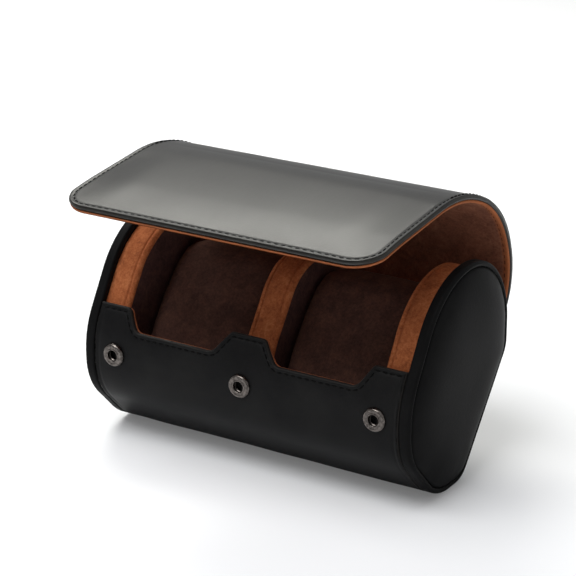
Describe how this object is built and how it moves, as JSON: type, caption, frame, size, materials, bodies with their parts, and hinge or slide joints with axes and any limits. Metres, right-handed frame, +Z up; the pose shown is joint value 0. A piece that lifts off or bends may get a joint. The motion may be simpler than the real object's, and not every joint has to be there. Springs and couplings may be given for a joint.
{
  "type": "watch travel case",
  "caption": "Roll-shaped leather travel case for wrist watches, with padded ends, a suede inside with cushions, and a soft flap that folds over and snaps shut.",
  "frame": {"origin": "middle of the flat that the case stands on", "axes": "+X along the roll to the right, -Y to the front with the snaps, +Z up"},
  "size_m": [0.1754, 0.1301, 0.1299],
  "materials": {
    "leather": "smooth black grained leather",
    "suede": "tan suede",
    "stiff_board": "pressed fibre board",
    "card": "grey card",
    "padding": "soft wadding",
    "foam": "soft foam",
    "snap_metal": "gunmetal plated",
    "plain_metal": "plated steel"
  },
  "bodies": {
    "case": {"body_leather": "leather", "body_board": "stiff_board", "body_lining": "suede", "socket_rings": "snap_metal", "socket_springs": "plain_metal", "socket_eyelets": "plain_metal", "end_rim_left": "leather", "end_rim_right": "leather", "end_board_left": "stiff_board", "end_board_right": "stiff_board", "end_cover_left": "leather", "end_cover_right": "leather", "end_pad_left": "padding", "end_pad_right": "padding", "inner_wall_suede_left": "suede", "inner_wall_suede_right": "suede", "inner_wall_core_left": "card", "inner_wall_core_right": "card", "divider_suede": "suede", "divider_core": "card"},
    "lid_back": {"lid_back_leather": "leather", "lid_back_board": "card", "lid_back_lining": "suede"},
    "lid_panel": {"lid_panel_leather": "leather", "lid_panel_board": "card", "lid_panel_lining": "suede"},
    "lid_strip": {"lid_strip_leather": "leather", "lid_strip_board": "card", "lid_strip_lining": "suede", "stud_heads": "snap_metal", "stud_rivets": "plain_metal"},
    "cushion_left": {"cushion_cover_left": "suede", "cushion_core_left": "foam"},
    "cushion_right": {"cushion_cover_right": "suede", "cushion_core_right": "foam"}
  },
  "joints": [
    {"name": "lid_hinge", "type": "hinge", "parent": "case", "child": "lid_back", "pos_m": [0, 0.0511, 0.0515], "axis": [1, 0, 0], "range_deg": [-40, 36.2]},
    {"name": "lid_fold", "type": "hinge", "parent": "lid_back", "child": "lid_panel", "pos_m": [0, 0.04337, 0.1165], "axis": [1, 0, 0], "range_deg": [0, 14.6]},
    {"name": "strip_fold", "type": "hinge", "parent": "lid_panel", "child": "lid_strip", "pos_m": [0, -0.02489, 0.12428], "axis": [1, 0, 0], "range_deg": [0, 33]},
    {"name": "cushion_left_lift", "type": "slide", "parent": "case", "child": "cushion_left", "axis": [0, -0.7755, 0.6314], "range_m": [0, 0.008]},
    {"name": "cushion_right_lift", "type": "slide", "parent": "case", "child": "cushion_right", "axis": [0, -0.7755, 0.6314], "range_m": [0, 0.008]}
  ]
}
